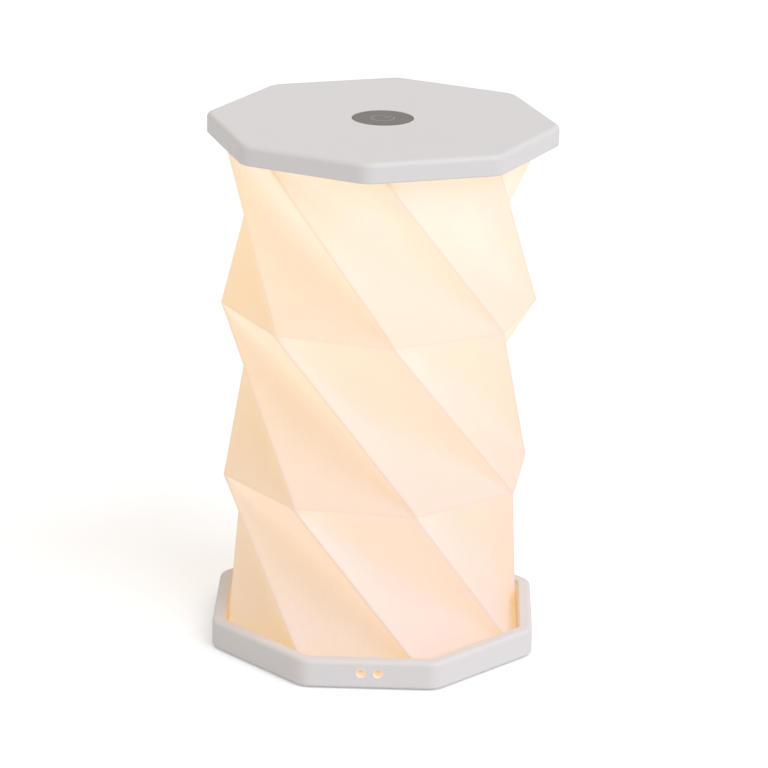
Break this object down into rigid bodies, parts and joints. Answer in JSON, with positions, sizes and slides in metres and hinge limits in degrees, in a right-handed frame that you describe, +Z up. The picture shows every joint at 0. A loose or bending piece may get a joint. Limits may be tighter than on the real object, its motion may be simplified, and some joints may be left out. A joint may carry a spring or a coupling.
{
  "type": "portable table lamp",
  "caption": "Portable octagonal table lamp: a light head with a push button over a tiered twist-folding paper shade that collapses into a rimmed base tray.",
  "frame": {"origin": "on the table under the middle of the base, between the foot pads", "axes": "+Z up along the folding axis, -Y to the front face of the base, where the strap holes are"},
  "size_m": [0.124, 0.124, 0.1931],
  "materials": {
    "housing": "fine satin moulding",
    "shade_paper": "translucent fibre paper, lit warm from inside",
    "button": "satin",
    "ring_plastic": "plain moulding",
    "steel": "zinc plated",
    "screw_steel": "plated",
    "pad_rubber": "matt",
    "diffuser": "milky",
    "led": "phosphor",
    "board": "white solder mask",
    "switch": "satin black",
    "cell_foil": "pouch foil",
    "foam_tape": "foam",
    "lead": "insulated wire",
    "inlet_steel": "bright"
  },
  "bodies": {
    "base": {"base_tray": "housing", "base_weight": "steel", "base_screws": "screw_steel", "foot_pads": "pad_rubber", "shade_foot_ring": "ring_plastic"},
    "shade": {"shade": "shade_paper"},
    "head": {"head_cover": "housing", "head_plate": "housing", "head_screws": "screw_steel", "shade_top_ring": "ring_plastic", "ring_screws": "screw_steel", "diffuser": "diffuser", "leds": "led", "control_board": "board", "board_screws": "screw_steel", "tact_switch": "switch", "battery_cells": "cell_foil", "battery_tape": "foam_tape", "battery_leads": "lead", "usb_socket": "inlet_steel", "usb_tongue": "switch"},
    "button": {"button_cap": "button", "switch_plunger": "switch"}
  },
  "joints": [
    {"name": "fold", "type": "slide", "parent": "base", "child": "shade", "axis": [0, 0, 1], "range_m": [-0.1745, 0], "deforming": ["shade"]},
    {"name": "twist", "type": "hinge", "parent": "shade", "child": "head", "pos_m": [0, 0, 0.1879], "axis": [0, 0, 1], "range_deg": [-108.75, 0]},
    {"name": "button_press", "type": "slide", "parent": "head", "child": "button", "axis": [0, 0, 1], "range_m": [-0.0004, 0], "stiffness_N_per_m": 3000}
  ],
  "couplings": [
    {"joint": "twist", "follows": "fold", "rad_per_m": 10.877}
  ]
}
